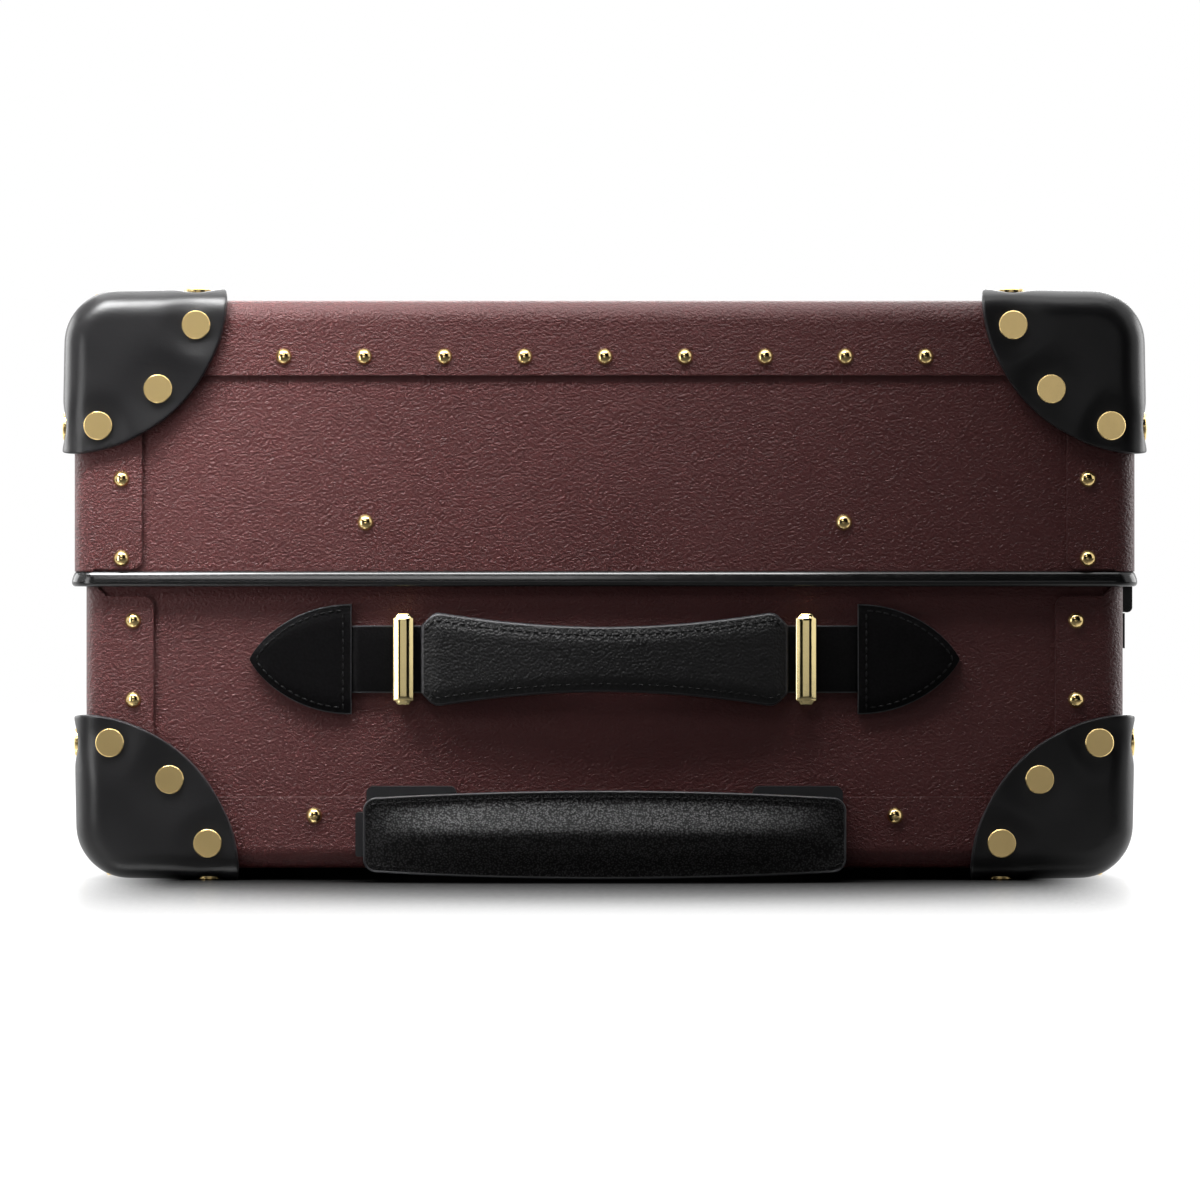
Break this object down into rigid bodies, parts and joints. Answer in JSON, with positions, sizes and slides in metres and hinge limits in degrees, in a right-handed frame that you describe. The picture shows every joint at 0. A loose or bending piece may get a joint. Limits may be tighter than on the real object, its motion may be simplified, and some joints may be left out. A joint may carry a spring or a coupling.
{
  "type": "carry-on suitcase",
  "caption": "Carry-on trunk case in red fibre sheet with black riveted corner guards, hinged lid, leather carry handle, telescopic trolley handle and wheels, lying on its back.",
  "frame": {"origin": "middle of the case's box on the surface that its back lies on", "axes": "+X towards the hinge side, +Y from the handle end to the wheel end, +Z from the back to the lid"},
  "size_m": [0.3994, 0.548, 0.2179],
  "materials": {
    "fibre": "satin",
    "rim_black": "gloss",
    "lining_cloth": "matte",
    "frame_wood": "satin",
    "guard_leather": "satin",
    "brass_satin": "satin",
    "brass_bright": "polished",
    "hinge_black": "satin",
    "steel": "satin",
    "handle_leather": "satin",
    "tube_aluminium": "satin",
    "moulding_black": "satin",
    "tyre_rubber": "matte",
    "strap_webbing": "matte"
  },
  "bodies": {
    "base": {"base_wrap": "fibre", "base_handle_end": "fibre", "base_foot_end": "fibre", "base_frame": "frame_wood", "base_lining": "lining_cloth", "base_corner_handle_left": "guard_leather", "base_corner_handle_right": "guard_leather", "base_corner_foot_left": "guard_leather", "base_corner_foot_right": "guard_leather", "base_corner_rivets": "brass_satin", "base_lap_rivets": "brass_bright", "packing_straps": "strap_webbing", "strap_buckles": "brass_bright", "hinge_base_leaf": "hinge_black", "hinge_pin": "steel", "lock_cases": "brass_bright", "handle_keepers": "brass_bright", "trolley_rails": "tube_aluminium", "trolley_bezels": "moulding_black", "rail_brackets": "moulding_black", "wheel_housings": "moulding_black", "wheel_axles": "steel"},
    "lid": {"lid_wrap": "fibre", "lid_handle_end": "fibre", "lid_foot_end": "fibre", "lid_rim": "rim_black", "lid_lining": "lining_cloth", "lid_battens": "frame_wood", "lid_corner_handle_left": "guard_leather", "lid_corner_handle_right": "guard_leather", "lid_corner_foot_left": "guard_leather", "lid_corner_foot_right": "guard_leather", "lid_corner_rivets": "brass_satin", "lid_lap_rivets": "brass_bright", "stand_feet": "moulding_black", "hinge_lid_leaf": "hinge_black", "hasp_mounts": "brass_bright"},
    "hasp_upper": {"hasp_upper": "brass_bright"},
    "hasp_lower": {"hasp_lower": "brass_bright"},
    "lock_slide_upper": {"lock_slide_upper": "brass_bright"},
    "lock_slide_lower": {"lock_slide_lower": "brass_bright"},
    "carry_grip": {"carry_grip": "handle_leather", "carry_strap_left": "handle_leather", "carry_strap_right": "handle_leather"},
    "carry_tab_left": {"carry_tab_left": "handle_leather"},
    "carry_tab_right": {"carry_tab_right": "handle_leather"},
    "trolley_mid": {"trolley_mid_tubes": "tube_aluminium"},
    "trolley_top": {"trolley_inner_tubes": "tube_aluminium", "trolley_grip_frame": "moulding_black", "trolley_grip_pad": "handle_leather", "release_spring": "steel"},
    "release": {"release_button": "moulding_black"},
    "release_rods": {"release_rods": "steel"},
    "lock_pins": {"lock_pins": "steel"},
    "wheel_left": {"wheel_hub_left": "moulding_black", "wheel_bearings_left": "steel", "tyre_left": "tyre_rubber"},
    "wheel_right": {"wheel_hub_right": "moulding_black", "wheel_bearings_right": "steel", "tyre_right": "tyre_rubber"}
  },
  "joints": [
    {"name": "lid_hinge", "type": "hinge", "parent": "base", "child": "lid", "pos_m": [0.1938, 0, 0.1006], "axis": [0, 1, 0], "range_deg": [0, 105]},
    {"name": "hasp_upper_swing", "type": "hinge", "parent": "lid", "child": "hasp_upper", "pos_m": [-0.1977, -0.14, 0.13], "axis": [0, 1, 0], "range_deg": [0, 120]},
    {"name": "hasp_lower_swing", "type": "hinge", "parent": "lid", "child": "hasp_lower", "pos_m": [-0.1977, 0.14, 0.13], "axis": [0, 1, 0], "range_deg": [0, 120]},
    {"name": "lock_slide_upper_push", "type": "slide", "parent": "base", "child": "lock_slide_upper", "axis": [0, 1, 0], "range_m": [0, 0.006], "stiffness_N_per_m": 300},
    {"name": "lock_slide_lower_push", "type": "slide", "parent": "base", "child": "lock_slide_lower", "axis": [0, 1, 0], "range_m": [0, 0.006], "stiffness_N_per_m": 300},
    {"name": "handle_lift", "type": "slide", "parent": "base", "child": "carry_grip", "axis": [0, -1, 0], "range_m": [0, 0.018], "deforming": ["carry_strap_left", "carry_strap_right"]},
    {"name": "tab_left_follow", "type": "slide", "parent": "carry_grip", "child": "carry_tab_left", "axis": [0.6139, 0.7894, 0], "range_m": [0, 0.02281]},
    {"name": "tab_right_follow", "type": "slide", "parent": "carry_grip", "child": "carry_tab_right", "axis": [-0.6139, 0.7894, 0], "range_m": [0, 0.02281]},
    {"name": "trolley_lower", "type": "slide", "parent": "base", "child": "trolley_mid", "axis": [0, -1, 0], "range_m": [0, 0.24]},
    {"name": "trolley_upper", "type": "slide", "parent": "trolley_mid", "child": "trolley_top", "axis": [0, -1, 0], "range_m": [0, 0.24]},
    {"name": "release_press", "type": "slide", "parent": "trolley_top", "child": "release", "axis": [1, 0, 0], "range_m": [0, 0.003], "stiffness_N_per_m": 400, "deforming": ["release_spring"]},
    {"name": "rods_follow", "type": "slide", "parent": "trolley_top", "child": "release_rods", "axis": [0, 1, 0], "range_m": [0, 0.003]},
    {"name": "pins_follow", "type": "slide", "parent": "trolley_top", "child": "lock_pins", "axis": [0, 0, -1], "range_m": [0, 0.0021]},
    {"name": "wheel_left_spin", "type": "hinge", "parent": "base", "child": "wheel_left", "pos_m": [-0.11, 0.2515, 0.025], "axis": [1, 0, 0], "continuous": true},
    {"name": "wheel_right_spin", "type": "hinge", "parent": "base", "child": "wheel_right", "pos_m": [0.11, 0.2515, 0.025], "axis": [1, 0, 0], "continuous": true}
  ],
  "couplings": [
    {"joint": "tab_left_follow", "follows": "handle_lift", "ratio": 1.2669},
    {"joint": "tab_right_follow", "follows": "handle_lift", "ratio": 1.2669},
    {"joint": "rods_follow", "follows": "release_press", "ratio": 1},
    {"joint": "pins_follow", "follows": "release_press", "ratio": 0.66}
  ]
}
